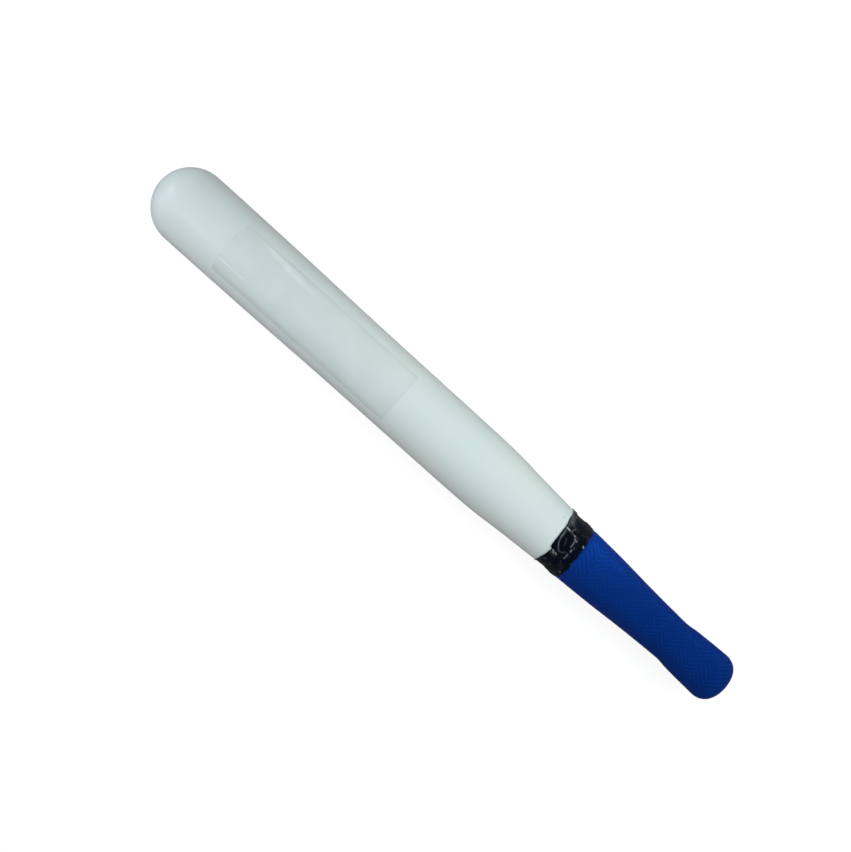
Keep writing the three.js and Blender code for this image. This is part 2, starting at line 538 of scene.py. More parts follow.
def make_specks(least: float = 0.04, spread: float = 0.18) -> bpy.types.NodeTree:
    """Group for dust and lint: sparse small dots of different sizes, one to a cell.

    Args:
        least: Radius of the smallest dot, as a share of a cell.
        spread: How much larger the largest dot is.

    Returns:
        The group. Mask is 1 on a speck, and Amount is the share of cells that hold one.
    """
    wiring = new_group(
        "specks",
        {"Vector": "NodeSocketVector", "Scale": "NodeSocketFloat", "Amount": "NodeSocketFloat"},
        {"Mask": "NodeSocketFloat"},
    )
    given, out = wiring.tree.nodes["in"].outputs, wiring.tree.nodes["out"]
    cells = wiring.add("ShaderNodeTexVoronoi")
    wiring.fill(cells, Vector=given["Vector"], Scale=given["Scale"], Randomness=1.0)
    pick = wiring.fill(wiring.add("ShaderNodeSeparateColor"), Color=cells.outputs["Color"]).outputs
    chosen = wiring.math("LESS_THAN", pick["Red"], given["Amount"])
    size = wiring.math("MULTIPLY_ADD", pick["Green"], spread, least)
    near = wiring.math("LESS_THAN", cells.outputs["Distance"], size)
    wiring.fill(out, Mask=wiring.math("MULTIPLY", chosen, near))
    return wiring.tree


class Shared(Enum):
    """Node groups that more than one finish uses."""

    UNEVENNESS = "unevenness"
    SPECKS = "specks"

    def place(self, wiring: Wiring, **values: object) -> bpy.types.Node:
        """Places the group in a material with its own values, and builds it at its first use.

        Args:
            wiring: The material's wiring.
            values: Values or sockets for the group's inputs.

        Returns:
            The group's node.
        """
        makers = {Shared.UNEVENNESS: make_unevenness, Shared.SPECKS: make_specks}
        tree = bpy.data.node_groups.get(self.value) or makers[self]()
        node = wiring.add("ShaderNodeGroup")
        node.node_tree = tree
        return wiring.fill(node, **values)


def new_material(name: str) -> tuple[bpy.types.Material, Wiring, bpy.types.Node]:
    """Starts a material with a Principled shader.

    Args:
        name: Name of the material.

    Returns:
        The material, its wiring, and the shader node.
    """
    material = bpy.data.materials.new(name)
    material.use_nodes = True
    wiring = Wiring(material.node_tree)
    shader = wiring.add("ShaderNodeBsdfPrincipled")
    output = wiring.add("ShaderNodeOutputMaterial")
    wiring.fill(output, Surface=shader.outputs["BSDF"])
    return material, wiring, shader


@dataclass(frozen=True)
class Unevenness:
    """How much a hand-made surface varies.

    Attributes:
        shade_scale: Shade changes per metre.
        wave_scale: Waves per metre.
        depth: Depth of the waves.
    """

    shade_scale: float
    wave_scale: float
    depth: float


@dataclass(frozen=True)
class Specks:
    """How many specks a surface has.

    Attributes:
        scale: Cells per metre.
        amount: Share of the cells that hold a speck.
    """

    scale: float
    amount: float

    def mask(self, surface: Surface) -> bpy.types.NodeSocket:
        """Places the specks on a surface, and gives a mask that is 1 on them."""
        values = {"Vector": surface.place, "Scale": self.scale, "Amount": self.amount}
        return Shared.SPECKS.place(surface.wiring, **values).outputs["Mask"]


@dataclass(frozen=True)
class Surface:
    """A material that has been started, with the varying values that every finish reads.

    Attributes:
        material: The material.
        wiring: Its wiring.
        shader: Its Principled shader.
        place: Object coordinates.
        shade: Slow shade changes, from 0 to 1.
        normal: Normal of a gentle waviness.
    """

    material: bpy.types.Material
    wiring: Wiring
    shader: bpy.types.Node
    place: bpy.types.NodeSocket
    shade: bpy.types.NodeSocket
    normal: bpy.types.NodeSocket

    @classmethod
    def start(cls, name: str, uneven: Unevenness) -> Surface:
        """Starts a material for a hand-made surface.

        Args:
            name: Name of the material.
            uneven: How much the surface varies.

        Returns:
            The surface, with nothing joined to its shader yet.
        """
        material, wiring, shader = new_material(name)
        place = wiring.coordinates()
        node = Shared.UNEVENNESS.place(wiring, Vector=place, Depth=uneven.depth)
        wiring.fill(node, Shade_Scale=uneven.shade_scale, Wave_Scale=uneven.wave_scale)
        varying = node.outputs
        return cls(material, wiring, shader, place, varying["Shade"], varying["Normal"])


@dataclass(frozen=True)
class LacquerFinish:
    """Off-white gloss lacquer over smooth wood.

    Attributes:
        colour: Off-white of most of the lacquer.
        cooler: Off-white that it drifts to.
        speck: Colour of a dust speck.
        speck_share: How strongly a speck shows.
        roughness: Roughness by shade.
        ior: Index of refraction of the lacquer and its gloss.
        coat: Weight of the gloss on top.
        coat_roughness: Roughness of that gloss.
        uneven: How much the lacquer varies.
        dust: How many dust specks it holds.
    """

    colour: Colour = (219, 231, 228)
    cooler: Colour = (215, 229, 229)
    speck: Colour = (150, 150, 142)
    speck_share: float = 0.35
    roughness: Fade = Fade(0.0, 1.0, 0.30, 0.38)
    ior: float = 1.33
    coat: float = 0.5
    coat_roughness: float = 0.12
    uneven: Unevenness = Unevenness(22.0, 95.0, 0.06 * MM)
    dust: Specks = Specks(160.0, 0.03)

    def material(self) -> bpy.types.Material:
        """Builds the lacquer: slow colour changes, faint waviness and a few dust specks.

        Returns:
            The material.
        """
        surface = Surface.start("lacquered_wood", self.uneven)
        wiring, shader = surface.wiring, surface.shader
        body = wiring.blend(surface.shade, linear(self.colour), linear(self.cooler))
        faint = wiring.math("MULTIPLY", self.dust.mask(surface), self.speck_share)
        colour = wiring.blend(faint, body, linear(self.speck))
        rough = wiring.remap(surface.shade, self.roughness)
        wiring.fill(shader, Base_Color=colour, Roughness=rough, Normal=surface.normal)
        wiring.fill(shader, IOR=self.ior, Coat_IOR=self.ior)
        wiring.fill(shader, Coat_Weight=self.coat, Coat_Roughness=self.coat_roughness)
        return surface.material


@dataclass(frozen=True)
class RubberFinish:
    """Moulded blue rubber, lighter on worn ridge tops, with painted groove shade and a painted
    highlight.

    Attributes:
        colour: Blue of the ridges' sides.
        groove: Darker blue of the grooves: painted shade, with some dirt.
        top: Blue of worn ridge tops.
        painted_highlight: Brighter blue of a painted highlight on the lit side near the tape.
        out_of_groove: Share of the sides' blue, by height on a ridge.
        worn: Share of the worn blue, by height on a ridge.
        painted_highlight_reach: Share of the painted highlight, by place along the bat.
        lit_side: How that share grows towards the side that faces the light.
        standing: How that share grows with height on a ridge.
        polish: Metallic share, by height on a ridge.
        tint: Tint of the gloss.
        roughness: Roughness by shade.
        ior: Index of refraction.
        uneven: How much the rubber varies.
    """

    colour: Colour = (11, 55, 139)
    groove: Colour = (10, 51, 131)
    top: Colour = (13, 60, 149)
    painted_highlight: Colour = (20, 76, 184)
    out_of_groove: Fade = Fade(0.0, 0.45)
    worn: Fade = Fade(0.75, 1.0, 0.0, 0.5)
    painted_highlight_reach: Fade = Fade(0.155, 0.105, 0.0, 0.6)
    lit_side: Fade = Fade(-0.006, 0.013, 0.6, 1.3)
    standing: Fade = Fade(0.15, 0.85, 0.2, 1.4)
    polish: Fade = Fade(0.2, 1.0, 0.2, 0.5)
    tint: Colour = (40, 120, 255)
    roughness: Fade = Fade(0.0, 1.0, 0.26, 0.38)
    ior: float = 1.15
    uneven: Unevenness = Unevenness(70.0, 900.0, 0.04 * MM)

    def material(self) -> bpy.types.Material:
        """Builds the rubber: painted groove shade, worn tops, a painted highlight near the tape.

        Returns:
            The material.
        """
        surface = Surface.start("grip_rubber", self.uneven)
        wiring, shader = surface.wiring, surface.shader
        ridge, place = wiring.mark("ridge"), wiring.parts(surface.place)
        low = wiring.remap(ridge, self.out_of_groove)
        # The grooves' darker blue is painted shade, with some dirt.
        body = wiring.blend(low, linear(self.groove), linear(self.colour))
        worn = wiring.math("MULTIPLY", wiring.remap(ridge, self.worn), surface.shade)
        colour = wiring.blend(worn, body, linear(self.top))
        # Painted highlight: a brighter blue on the ridges of the lit side near the tape, in place
        # of light.
        painted_highlight = wiring.remap(place["X"], self.painted_highlight_reach)
        painted_highlight = wiring.math("MULTIPLY", painted_highlight, wiring.remap(place["Y"], self.lit_side))
        standing = wiring.remap(ridge, self.standing)
        painted_highlight = wiring.math("MULTIPLY", painted_highlight, standing, clamped=True)
        colour = wiring.blend(painted_highlight, colour, linear(self.painted_highlight))
        rough = wiring.remap(surface.shade, self.roughness)
        wiring.fill(shader, Base_Color=colour, Roughness=rough, Normal=surface.normal)
        wiring.fill(shader, Metallic=wiring.remap(ridge, self.polish))
        wiring.fill(shader, IOR=self.ior, Specular_Tint=linear(self.tint))
        return surface.material


@dataclass(frozen=True)
class TapeFinish:
    """Black plastic tape, glossy where it's stretched and dull where it has been handled.

    Attributes:
        colour: Black of the tape.
        dusty: Duller black of handled patches.
        whitened: Pale colour of the folds: stretched plastic, and painted highlight.
        lint: Colour of the lint.
        dust: Share of the duller black, by shade.
        roughness: Roughness by shade.
        ior: Index of refraction.
        crease_scale: Fine creases per metre.
        crease_stretch: Scale of the creases along the tape, as a share.
        crease_warp: How far the creases are warped.
        crease_depth: Depth of the fine creases.
        crease_strength: How strongly they bend the surface.
        uneven: How much the tape varies.
        specks: How much lint it holds.
    """

    colour: Colour = (5, 12, 25)
    dusty: Colour = (17, 28, 42)
    whitened: Colour = (196, 204, 212)
    lint: Colour = (190, 196, 196)
    dust: Fade = Fade(0.55, 1.0, 0.0, 0.35)
    roughness: Fade = Fade(0.2, 1.0, 0.2, 0.4)
    ior: float = 1.2
    crease_scale: float = 900.0
    crease_stretch: float = 0.35
    crease_warp: float = 0.4
    crease_depth: float = 0.06 * MM
    crease_strength: float = 0.6
    uneven: Unevenness = Unevenness(180.0, 520.0, 0.08 * MM)
    specks: Specks = Specks(700.0, 0.02)

    def material(self) -> bpy.types.Material:
        """Builds the tape: fine creases along it, dull patches, pale folds and a little lint.

        Returns:
            The material.
        """
        surface = Surface.start("tape_plastic", self.uneven)
        wiring, shader = surface.wiring, surface.shader
        along = wiring.add("ShaderNodeUVMap", uv_map="surface").outputs["UV"]
        stretched = wiring.add("ShaderNodeMapping")
        wiring.fill(stretched, Vector=along, Scale=(self.crease_stretch, 1.0, 1.0))
        stretched = stretched.outputs["Vector"]
        creases = wiring.noise(stretched, self.crease_scale, 3.0, self.crease_warp)
        bump = wiring.add("ShaderNodeBump")
        wiring.fill(bump, Strength=self.crease_strength, Distance=self.crease_depth)
        wiring.fill(bump, Height=creases, Normal=surface.normal)
        dust = wiring.remap(surface.shade, self.dust)
        body = wiring.blend(dust, linear(self.colour), linear(self.dusty))
        # The folds' pale colour is partly stretched plastic and partly painted highlight.
        body = wiring.blend(wiring.mark("whitened"), body, linear(self.whitened))
        colour = wiring.blend(self.specks.mask(surface), body, linear(self.lint))
        rough = wiring.remap(surface.shade, self.roughness)
        wiring.fill(shader, Base_Color=colour, Roughness=rough, IOR=self.ior)
        wiring.fill(shader, Normal=bump.outputs["Normal"])
        return surface.material


@dataclass(frozen=True)
class FilmFinish:
    """Clear glossy label film with nothing printed on it.

    Attributes:
        colour: Tint of clear film.
        hazy: Tint where it's a little hazy.
        grimy: Tint of the painted shade along its long edges.
        roughness: Roughness by shade.
        ior: Index of refraction.
        uneven: How much the film varies.
    """

    colour: Colour = (249, 250, 249)
    hazy: Colour = (244, 246, 244)
    grimy: Colour = (232, 234, 230)
    roughness: Fade = Fade(0.0, 1.0, 0.06, 0.09)
    ior: float = 1.4
    uneven: Unevenness = Unevenness(60.0, 120.0, 0.004 * MM)

    def material(self) -> bpy.types.Material:
        """Builds the film: nearly clear, glossy, and a little uneven where it was smoothed on.

        Light that falls on the lacquer, and light that the lacquer scatters, pass the film by.

        Returns:
            The material.
        """
        surface = Surface.start("clear_film", self.uneven)
        wiring, shader = surface.wiring, surface.shader
        path = wiring.add("ShaderNodeLightPath").outputs
        passing = wiring.math("MAXIMUM", path["Is Shadow Ray"], path["Is Diffuse Ray"])
        colour = wiring.blend(surface.shade, linear(self.colour), linear(self.hazy))
        # Painted shade: a darker tint along the film's long edges.
        colour = wiring.blend(wiring.mark("grimy"), colour, linear(self.grimy))
        rough = wiring.remap(surface.shade, self.roughness)
        wiring.fill(shader, Base_Color=colour, Roughness=rough, Normal=surface.normal)
        wiring.fill(shader, Alpha=wiring.math("SUBTRACT", 1.0, passing))
        wiring.fill(shader, IOR=self.ior, Transmission_Weight=1.0)
        return surface.material


@dataclass(frozen=True)
class Fitting:
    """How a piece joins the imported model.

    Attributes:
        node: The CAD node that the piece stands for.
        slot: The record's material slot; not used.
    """

    node: str
    slot: str

    def place(self, piece: bpy.types.Object, material: bpy.types.Material) -> None:
        """Dresses a piece, lets it ride on the bat, and hides the node that it stands for.

        Args:
            piece: The piece's mesh.
            material: Its material.
        """
        piece.data.materials.append(material)
        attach(piece, "root")
        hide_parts(self.node)
        triangles = sum(len(p.vertices) - 2 for p in piece.data.polygons)
        LOG.info("%s for %s: %d triangles", piece.name, self.node, triangles)


@dataclass
class TurnedBody:
    """The one-piece wooden body: handle in the sleeve, tape seat, neck, barrel and dome.

    The shares place stations along the neck and the barrel, as shares of the way and of the
    swelling. The depths of the dome and of the fullest place count from the tip. The solid rests
    on one of the flat sides of its barrel, and the round barrel stays a clearance inside them.
    """

    axis: BatAxis
    sleeve: GripSleeve
    length: float = 460 * MM
    barrel_radius: float = 25 * MM
    dome_depth: float = 24 * MM
    fullest_depth: float = 35 * MM
    barrel_end_radius: float = 23.2 * MM
    neck_length: float = 78 * MM
    neck_radius: float = 18.6 * MM
    seat_depth: float = 0.6 * MM
    seat_length: float = 7.7 * MM
    resting_facets: int = 30
    clearance: float = 0.01 * MM
    barrel_shares: Shares = ((0.25, 0.17), (0.45, 0.31), (0.75, 0.8))
    neck_shares: Shares = ((0.53, 0.61), (0.68, 0.83), (0.77, 0.92))
    columns: int = 192
    seat_rows: int = 12
    side_rows: int = 170
    dome_rows: int = 42
    handle_rows: int = 90

    def radius(self, height: np.ndarray) -> np.ndarray:
        """Radius of the neck and barrel at a height, without the dome and the seat.

        The curve runs through the same stations as the solid. It is drawn in to the solid's
        flats, on one of which the bat rests, so that the round barrel stands on the floor.

        Args:
            height: Heights from the butt.

        Returns:
            The radii.
        """
        grip = self.sleeve.length
        neck_base = (grip, self.neck_radius)
        barrel_end = (grip + self.neck_length, self.barrel_end_radius)
        barrel_top = (self.length - self.fullest_depth, self.barrel_radius)
        stations = stations_between(neck_base, barrel_end, self.neck_shares)
        stations += stations_between(barrel_end, barrel_top, self.barrel_shares)[1:]
        flat_share = math.cos(math.pi / self.resting_facets)
        return curve_through(stations, height) * flat_share - self.clearance

    def outline(self) -> tuple[np.ndarray, np.ndarray]:
        """Heights and radii of the turned outline, from the handle's end to the tip.

        The handle is the sleeve's inner wall less its fit. The dome is a quarter ellipse.

        Returns:
            Heights and radii of the rings.
        """
        sleeve = self.sleeve
        depth, end = sleeve.wall + sleeve.fit, sleeve.butt_wall + sleeve.fit
        handle, handle_radius = sleeve.section(depth, end, self.handle_rows)
        shoulder = sleeve.length + sleeve.fit
        seat = np.linspace(shoulder, shoulder + self.seat_length, self.seat_rows)
        dome_start = self.length - self.dome_depth
        side = np.linspace(seat[-1] + self.seat_depth, dome_start, self.side_rows)
        turn = np.linspace(0.0, math.pi / 2, self.dome_rows + 2)[1:-1]
        full = float(self.radius(np.array([dome_start]))[0])
        heights = [handle[::-1], seat, side, dome_start + self.dome_depth * np.sin(turn)]
        radii = [
            handle_radius[::-1],
            self.radius(seat) - self.seat_depth,
            self.radius(side),
            full * np.cos(turn),
        ]
        return np.concatenate(heights), np.concatenate(radii)

    def build(self) -> bpy.types.Object:
        """Turns the outline round the axis, with one point and a fan of triangles at each end.

        Returns:
            The body.
        """
        height, radius = self.outline()
        angle = np.arange(self.columns) / self.columns * math.tau
        skin = self.axis.points(height[:, None], radius[:, None], angle[None, :])
        low = self.axis.points(height[:1], np.zeros(1), np.zeros(1))
        tip = self.axis.points(np.array([self.length]), np.zeros(1), np.zeros(1))
        points = np.concatenate([skin.reshape(-1, 3), low, tip])
        quads = grid_quads(len(height), self.columns, False, True)
        column = np.arange(self.columns)
        after = (column + 1) % self.columns
        last = (len(height) - 1) * self.columns
        low_point, tip_point = (np.full_like(column, len(points) - back) for back in (2, 1))
        low_fan = np.stack([after, column, low_point], axis=1)
        tip_fan = np.stack([last + column, last + after, tip_point], axis=1)
        return object_from_arrays("turned_body", points, [quads, low_fan, tip_fan])

    def dress(self, piece: bpy.types.Object) -> None:
        """Dresses the body in lacquer."""
        Fitting("bat_body", "lacquered_wood").place(piece, LacquerFinish().material())


@dataclass
class GripSleeve:
    """The moulded rubber sleeve: a closed tube with zigzag ridges and a rounded butt.

    Heights count from the butt, and radii are those over the ridges. The shares place stations
    above and below the waist. Across a ridge and its groove, the ridge falls between the two
    distances of the crest, which are shares of both. The fades are lengths over which ridges or
    grooves run out, and the band is the plain part under the tape. One pitch is a zig and a zag.
    Round the worn height, hands have rubbed off a share of the ridges.
    """

    axis: BatAxis
    length: float = 127.2 * MM
    top_radius: float = 18.8 * MM
    waist_height: float = 39.5 * MM
    waist_radius: float = 14.1 * MM
    knob_height: float = 9 * MM
    knob_radius: float = 16.05 * MM
    flat_radius: float = 8.5 * MM
    wall: float = 1.9 * MM
    butt_wall: float = 3 * MM
    vent_radius: float = 1.5 * MM
    clearance: float = 0.01 * MM
    fit: float = 0.3 * MM
    handle_shares: Shares = ((0.14, 0.1), (0.33, 0.3), (0.62, 0.67))
    knob_shares: Shares = ((0.25, 0.42), (0.51, 0.67))
    ridges: int = 30
    columns_per_ridge: int = 9
    crest: tuple[float, float] = (0.16, 0.44)
    band_depth: float = 0.45 * MM
    ridge_height: float = 0.25 * MM
    ridge_top: float = 119.2 * MM
    ridge_fade: float = 0.6 * MM
    butt_fade: float = 2.5 * MM
    groove_fade: float = 1.2 * MM
    pitch: float = 16.2 * MM
    swing: float = 8.1 * MM
    lowest_corner: float = 5.2 * MM
    corner_softness: float = 0.4 * MM
    worn_height: float = 76 * MM
    worn_reach: float = 20 * MM
    worn_share: float = 0.35
    outer_rows: int = 240
    inner_rows: int = 30
    rim_rows: int = 24

    def radius(self, height: np.ndarray) -> np.ndarray:
        """Radius over the ridges, on a smooth curve through the knob, the waist and the top.

        Args:
            height: Heights from the butt, above the knob's rim.

        Returns:
            The radii.
        """
        knob = (self.knob_height, self.knob_radius)
        waist = (self.waist_height, self.waist_radius)
        top = (self.length, self.top_radius)
        stations = stations_between(waist, knob, self.knob_shares)[::-1]
        stations += stations_between(waist, top, self.handle_shares)[1:]
        return curve_through(stations, height)

    def section(self, depth: float, end: float, rows: int) -> tuple[np.ndarray, np.ndarray]:
        """Side and rim of a surface that lies a depth under the ridges.

        Args:
            depth: Depth under the ridges.
            end: Height of the surface's flat end.
            rows: Rings along the side.

        Returns:
            Heights and radii from the sleeve's top edge down. The rim is a quarter ellipse.
        """
        side = np.linspace(self.length, self.knob_height, rows)
        turn = np.linspace(0.0, math.pi / 2, self.rim_rows + 1)[1:]
        bulge = self.knob_radius - self.flat_radius - depth
        rim = self.knob_height + (end - self.knob_height) * np.sin(turn)
        radii = [self.radius(side) - depth, self.flat_radius + bulge * np.cos(turn)]
        return np.concatenate([side, rim]), np.concatenate(radii)

    def skin(self, depth: float, end: float, rows: int) -> tuple[np.ndarray, np.ndarray]:
        """Section of a surface, carried on over its flat end to the vent hole.

        Args:
            depth: Depth under the ridges.
            end: Height of the surface's flat end.
            rows: Rings along the side.

        Returns:
            Heights and radii from the sleeve's top edge down.
        """
        height, radius = self.section(depth, end, rows)
        middle = (self.flat_radius + self.vent_radius) / 2
        height = np.concatenate([height, [end, end]])
        return height, np.concatenate([radius, [middle, self.vent_radius]])

    def zigzag(self, height: np.ndarray) -> np.ndarray:
        """Angle by which the ridges are turned at a height: a zigzag with eased corners.

        The share is the distance to the nearest lower corner in half pitches. Near a corner
        the distance x becomes the root of x^2 plus the softness squared.

        Args:
            height: Heights from the butt.

        Returns:
            The angles.
        """
        swing = self.swing / ((self.waist_radius + self.top_radius) / 2)
        periods = (height - self.lowest_corner) / self.pitch
        soft = self.corner_softness / self.pitch
        way = np.abs(periods - np.round(periods))
        share = 0.5 + np.hypot(way, soft) - np.hypot(0.5 - way, soft)
        return swing * (0.5 - share)

    def standing(self, height: np.ndarray) -> np.ndarray:
        """Share of the ridges' height that stands: none under the tape and on the flat butt.

        A bell curve takes the worn share off round the most worn place.

        Args:
            height: Heights from the butt.

        Returns:
            The shares.
        """
        under_tape = smoothstep(self.ridge_top + self.ridge_fade, self.ridge_top, height)
        on_rim = smoothstep(0.0, self.butt_fade, height)
        worn = 1.0 - self.worn_share * hill(height, self.worn_height, self.worn_reach)
        return under_tape * on_rim * worn

    def build(self) -> bpy.types.Object:
        """Builds the sleeve on columns that follow the zigzag, so that each ridge stays crisp.

        Across a ridge the height is 1 on its flat top and falls to 0 in the groove, by an eased
        step of the distance from the ridge's middle. The bore's columns turn evenly from where
        the outer ones start to where they end.

        Returns:
            The sleeve.
        """
        columns = self.ridges * self.columns_per_ridge
        height, radius = self.skin(0.0, self.clearance, self.outer_rows)
        column = np.arange(columns)
        across = np.abs((column % self.columns_per_ridge) / self.columns_per_ridge - 0.5)
        crest = 1.0 - smoothstep(*self.crest, across)
        ridge = crest[None, :] * self.standing(height)[:, None]
        on_side = smoothstep(0.0, self.groove_fade, height)[:, None]
        depth = self.ridge_height * (1.0 - ridge) * on_side
        turned = column / columns * math.tau
        zigzag = self.zigzag(height)
        angle = turned[None, :] + zigzag[:, None]
        outer = self.axis.points(height[:, None], radius[:, None] - depth, angle)
        low, low_radius = self.skin(self.wall, self.butt_wall, self.inner_rows)
        bore = turned[None, :] + np.linspace(zigzag[0], zigzag[-1], len(low))[:, None]
        inner = self.axis.points(low[:, None], low_radius[:, None], bore)
        piece = wall_object("ribbed_sleeve", outer[::-1], inner[::-1], True)
        heights = np.concatenate([height[::-1], low])[:, None]
        angles = np.concatenate([angle[::-1], bore])
        marks = np.concatenate([ridge[::-1], np.zeros_like(bore)])
        write_surface_data(piece, angles * self.top_radius, heights, ridge=marks)
        return piece

    def dress(self, piece: bpy.types.Object) -> None:
        """Dresses the sleeve in rubber."""
        Fitting("grip_sleeve", "grip_rubber").place(piece, RubberFinish().material())


@dataclass(frozen=True)
class Crease:
    """A raised fold in the tape, along a smooth line.

    Attributes:
        path: Points of the line, as height from the butt and distance round from the top, in mm.
        width: Half width of the fold, in mm.
        rise: How far it stands up, in mm.
        whitened: How pale the fold is: stretched plastic, and painted highlight.
    """

    path: tuple[tuple[float, float], ...]
    width: float
    rise: float
    whitened: float

    def nearness(self, height: np.ndarray, along: np.ndarray, steps: int = 9) -> np.ndarray:
        """Bell curve of the distance to the line, whose points lie on smooth curves.

        Args:
            height: Heights from the butt.
            along: Distances round from the top.
            steps: Steps from one point of the line to the next.

        Returns:
            Values from 0 to 1, with 1 on the line.
        """
        stretches = len(self.path) - 1
        way = np.linspace(0.0, stretches, steps * stretches + 1)
        heights = curve_through([(k, h) for k, (h, _) in enumerate(self.path)], way)
        alongs = curve_through([(k, a) for k, (_, a) in enumerate(self.path)], way)
        nearest = np.full(np.broadcast(height, along).shape, np.inf)
        for one_height, one_along in zip(heights, alongs):
            away = np.hypot(height / MM - one_height, along / MM - one_along)
            nearest = np.minimum(nearest, away)
        return hill(nearest, 0.0, self.width)


CREASES = (
    Crease(((137.2, 8.6), (135.8, 8.6), (134.7, 8.7)), 0.45, 0.12, 1.0),
    Crease(((134.8, 8.5), (133.0, 8.6), (131.6, 8.4)), 0.3, 0.08, 0.32),
    Crease(((130.4, 8.3), (130.0, 8.2)), 0.42, 0.12, 0.85),
    Crease(((129.4, 8.5), (127.6, 8.4)), 0.25, 0.04, 0.16),
    Crease(((129.0, 6.9), (128.4, 6.2), (127.4, 6.0)), 0.5, 0.09, 0.4),
    Crease(((128.6, 5.6), (127.3, 7.0)), 0.4, 0.08, 0.26),
    Crease(((128.3, 4.6), (128.0, 2.9), (128.0, 1.2)), 0.32, 0.12, 0.42),
    Crease(((126.0, 2.6), (125.8, 1.0)), 0.3, 0.08, 0.14),
    Crease(((126.4, 0.1), (126.3, -1.2)), 0.4, 0.12, 0.46),
    Crease(((126.4, -3.4), (126.2, -5.2), (126.3, -7.2)), 0.34, 0.12, 0.32),
    Crease(((136.7, 5.4), (136.6, 3.4), (136.4, 1.4)), 0.42, 0.12, 0.36),
    Crease(((136.2, 0.6), (135.4, -1.4), (133.8, -3.7)), 0.36, 0.12, 0.27),
    Crease(((133.3, -4.2), (132.3, -5.1), (131.3, -5.9)), 0.36, 0.1, 0.2),
    Crease(((131.3, -5.9), (129.6, -5.2), (128.4, -3.6)), 0.45, 0.08, 0.08),
    Crease(((134.3, -7.8), (133.6, -8.6), (133.2, -9.0)), 0.5, 0.1, 0.6),
    Crease(((132.2, -8.2), (131.3, -8.7)), 0.5, 0.1, 0.5),
    Crease(((134.4, -9.3), (132.6, -9.6)), 1.3, 0.03, 0.1),
    Crease(((138.0, 15.0), (137.4, 12.0), (136.8, 6.5)), 0.9, 0.03, 0.13),
    Crease(((134.0, -17.4), (133.6, -16.6)), 0.8, 0.05, 0.09),
    Crease(((129.2, -18.8), (128.4, -18.0)), 0.7, 0.05, 0.07),
    Crease(((128.0, 28.5), (124.4, 28.5)), 3.0, 0.45, 0.0),
    Crease(((124.0, -29.0), (121.6, -30.0)), 1.6, 0.4, 0.0),
    Crease(((133.9, -9.9), (131.0, -10.4)), 0.5, 0.05, 0.06),
    Crease(((139.0, 21.5), (138.0, 18.5), (136.5, 14.6)), 2.2, 0.04, 0.2),
    Crease(((136.4, 14.4), (136.1, 12.2)), 0.4, 0.08, 0.22),
    Crease(((134.9, 14.6), (134.6, 12.4)), 0.3, 0.06, 0.14),
    Crease(((132.0, 12.6), (132.8, 10.9), (133.2, 9.4)), 0.35, 0.08, 0.2),
    Crease(((122.3, 6.8), (121.9, 6.3)), 0.4, 0.12, 0.9),
    Crease(((120.6, -6.9), (120.2, -7.4)), 0.36, 0.12, 0.85),
    Crease(((124.6, -12.0), (123.0, -13.5), (123.4, -16.0), (122.4, -18.5)), 0.7, 0.14, 0.03),
    Crease(((126.6, -9.5), (125.4, -12.4), (125.8, -15.0)), 0.5, 0.1, 0.03),
    Crease(((133.4, 3.4), (132.3, 1.6), (131.8, -0.6)), 0.35, 0.06, 0.07),
)


@dataclass(frozen=True)
class Waves:
    """Soft irregular waves over the tape.

    Attributes:
        along: Wavelength round the bat.
        up: Wavelength up the bat.
        seed: Seed of the waves.
        rise: Height of the waves.
    """

    along: float
    up: float
    seed: int
    rise: float = 1.0

    def at(self, height: np.ndarray, along: np.ndarray) -> np.ndarray:
        """Height of the waves at places on the tape."""
        return self.rise * soft_noise(along / self.along, height / self.up, self.seed)


